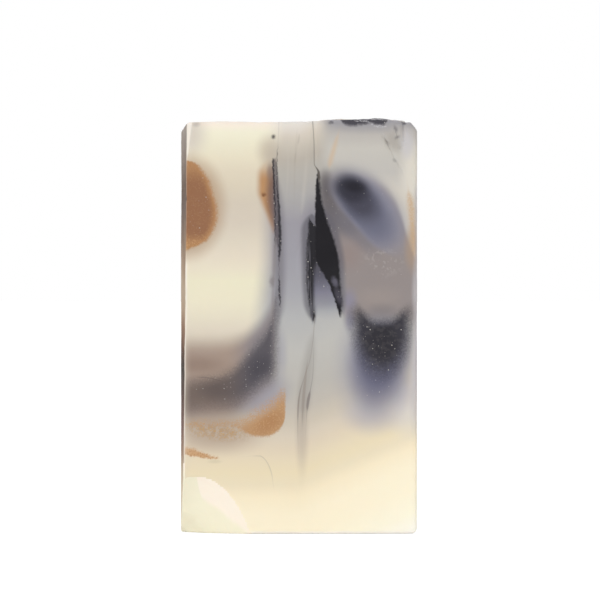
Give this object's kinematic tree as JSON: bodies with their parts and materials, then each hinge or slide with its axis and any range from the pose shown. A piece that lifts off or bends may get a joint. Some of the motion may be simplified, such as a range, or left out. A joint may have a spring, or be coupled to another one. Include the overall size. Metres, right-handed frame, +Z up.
{
  "type": "bar of soap",
  "caption": "Rectangular bar of handmade marbled soap, sliced from a loaf and standing on end, with planed edges and a curved slice gone from a lower corner.",
  "frame": {"origin": "centre of the base, on the plane the bar stands on", "axes": "+Z up, along the bar's longest side; +X to the right of the front face; +Y through the thickness, away from the front face"},
  "size_m": [0.051, 0.025, 0.0903],
  "materials": {
    "soap": "satin, waxy"
  },
  "bodies": {
    "root": {"soap_bar": "soap"}
  },
  "joints": []
}
